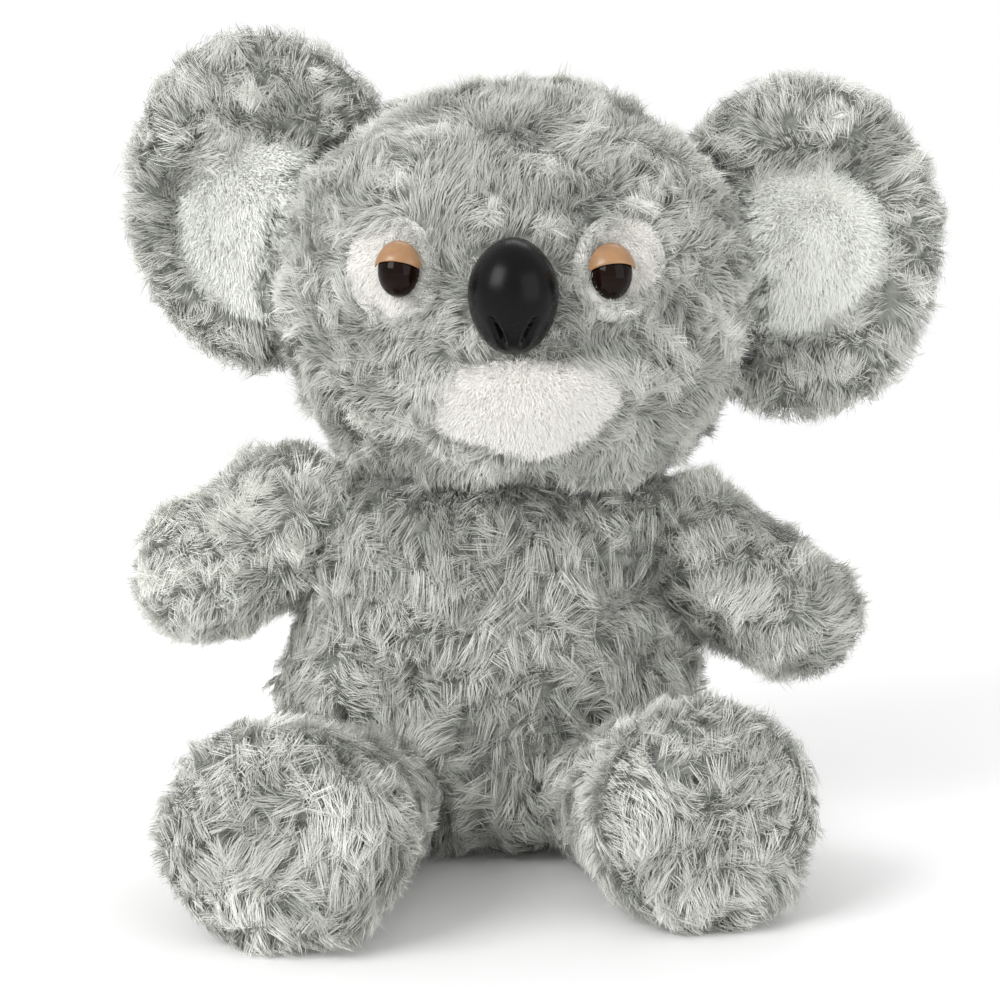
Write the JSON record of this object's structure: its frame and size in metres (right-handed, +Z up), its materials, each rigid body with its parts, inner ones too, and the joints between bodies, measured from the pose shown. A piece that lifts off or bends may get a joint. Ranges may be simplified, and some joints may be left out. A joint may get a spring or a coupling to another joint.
{
  "type": "plush koala",
  "caption": "Sitting plush koala with a long fur cover over fibre filling, sewn limbs that lift, a head that turns and broad soft ears.",
  "frame": {"origin": "middle of the flat seat under the body", "axes": "+Z up, the face looks along -Y, +X to the viewer's right"},
  "size_m": [0.306, 0.2327, 0.3048],
  "materials": {
    "grey_fur": "long soft pile",
    "cream_pile": "short velvety pile",
    "polyester_fibre": "loose fibre",
    "black_plastic": "gloss",
    "satin_black_plastic": "satin",
    "tan_plastic": "satin",
    "white_plastic": "matt"
  },
  "bodies": {
    "body": {"body_cover": "grey_fur", "body_stuffing": "polyester_fibre"},
    "head": {"head_cover": "grey_fur", "head_stuffing": "polyester_fibre", "muzzle_patch": "cream_pile", "eye_patch_left": "cream_pile", "eye_patch_right": "cream_pile", "eye_left": "black_plastic", "eye_right": "black_plastic", "eyelid_left": "tan_plastic", "eyelid_right": "tan_plastic", "eye_washer_left": "white_plastic", "eye_washer_right": "white_plastic", "nose": "satin_black_plastic", "nose_washer": "white_plastic"},
    "arm_left": {"arm_left_cover": "grey_fur", "arm_left_stuffing": "polyester_fibre"},
    "arm_right": {"arm_right_cover": "grey_fur", "arm_right_stuffing": "polyester_fibre"},
    "leg_left": {"leg_left_cover": "grey_fur", "foot_sole_left": "grey_fur", "leg_left_stuffing": "polyester_fibre"},
    "leg_right": {"leg_right_cover": "grey_fur", "foot_sole_right": "grey_fur", "leg_right_stuffing": "polyester_fibre"},
    "ear_left": {"ear_front_left": "grey_fur", "ear_back_left": "grey_fur", "ear_stuffing_left": "polyester_fibre", "ear_patch_left": "cream_pile"},
    "ear_right": {"ear_front_right": "grey_fur", "ear_back_right": "grey_fur", "ear_stuffing_right": "polyester_fibre", "ear_patch_right": "cream_pile"}
  },
  "joints": [
    {"name": "head_turn", "type": "hinge", "parent": "body", "child": "head", "pos_m": [0, 0, 0.126], "axis": [0, 0, 1], "range_deg": [-20, 20], "stiffness_Nm_per_rad": 0.3},
    {"name": "arm_left_raise", "type": "hinge", "parent": "body", "child": "arm_left", "pos_m": [-0.0848, -0.006, 0.1165], "axis": [0, 1, 0], "range_deg": [-3, 40], "stiffness_Nm_per_rad": 0.2},
    {"name": "arm_right_raise", "type": "hinge", "parent": "body", "child": "arm_right", "pos_m": [0.084, -0.006, 0.105], "axis": [0, -1, 0], "range_deg": [-3, 40], "stiffness_Nm_per_rad": 0.2},
    {"name": "leg_left_lift", "type": "hinge", "parent": "body", "child": "leg_left", "pos_m": [-0.047, -0.056, 0.0265], "axis": [-1, 0, 0], "range_deg": [0, 12], "stiffness_Nm_per_rad": 0.3},
    {"name": "leg_right_lift", "type": "hinge", "parent": "body", "child": "leg_right", "pos_m": [0.044, -0.056, 0.0265], "axis": [-1, 0, 0], "range_deg": [0, 12], "stiffness_Nm_per_rad": 0.3},
    {"name": "ear_left_flop", "type": "hinge", "parent": "head", "child": "ear_left", "pos_m": [-0.09, 0.008, 0.233], "axis": [0.361, 0, 0.9326], "range_deg": [-8, 8], "stiffness_Nm_per_rad": 0.06},
    {"name": "ear_right_flop", "type": "hinge", "parent": "head", "child": "ear_right", "pos_m": [0.104, 0.008, 0.218], "axis": [-0.1569, 0, 0.9876], "range_deg": [-8, 8], "stiffness_Nm_per_rad": 0.06}
  ]
}
